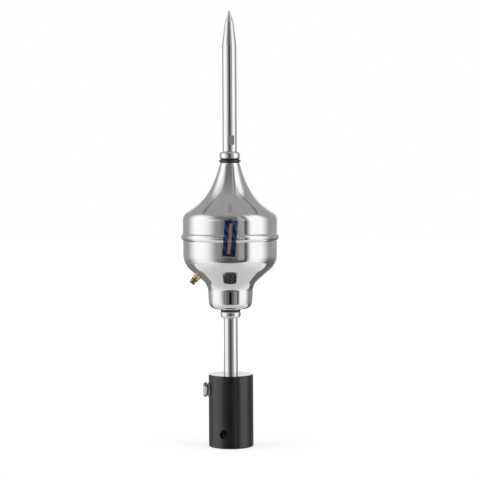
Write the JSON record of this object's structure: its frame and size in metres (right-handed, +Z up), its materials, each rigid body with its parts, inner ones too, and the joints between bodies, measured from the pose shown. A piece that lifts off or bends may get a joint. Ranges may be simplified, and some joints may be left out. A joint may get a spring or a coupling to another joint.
{
  "type": "lightning rod",
  "caption": "Early-streamer lightning rod: polished pointed finial on a spun bell-shaped steel shell, with a stem, a brass test socket and a black mast adapter.",
  "frame": {"origin": "centre of the mast adapter's foot, on the rod's axis", "axes": "+Z up the axis to the point, -Y to the front where the label is, -X to the left where the clamp bolt is"},
  "size_m": [0.1232, 0.1234, 0.5443],
  "materials": {
    "polished_steel": "polished stainless steel",
    "black_insulator": "moulded black insulator",
    "black_rubber": "black rubber",
    "brass": "turned brass",
    "plated_steel": "bright plated",
    "spring_steel": "rolled strip",
    "potting": "cast resin",
    "lead_cover": "smooth",
    "black_metal": "satin black anodised",
    "label_film": "printed film"
  },
  "bodies": {
    "root": {"finial_rod": "polished_steel", "upper_collar": "polished_steel", "upper_insulator": "black_insulator", "upper_seal": "black_rubber", "upper_dome": "polished_steel", "lower_bowl": "polished_steel", "lower_insulator": "black_insulator", "lower_collar": "polished_steel", "stem_rod": "polished_steel", "earth_hub": "brass", "hub_screw": "plated_steel", "trigger_unit": "potting", "unit_washer": "plated_steel", "unit_nut": "plated_steel", "pickup_spring": "spring_steel", "test_lead": "lead_cover", "socket_body": "brass", "socket_ring": "black_insulator", "socket_sleeve": "brass", "socket_flange": "brass", "socket_nut": "brass", "mast_adapter": "black_metal", "clamp_bolt": "plated_steel", "label": "label_film"}
  },
  "joints": []
}
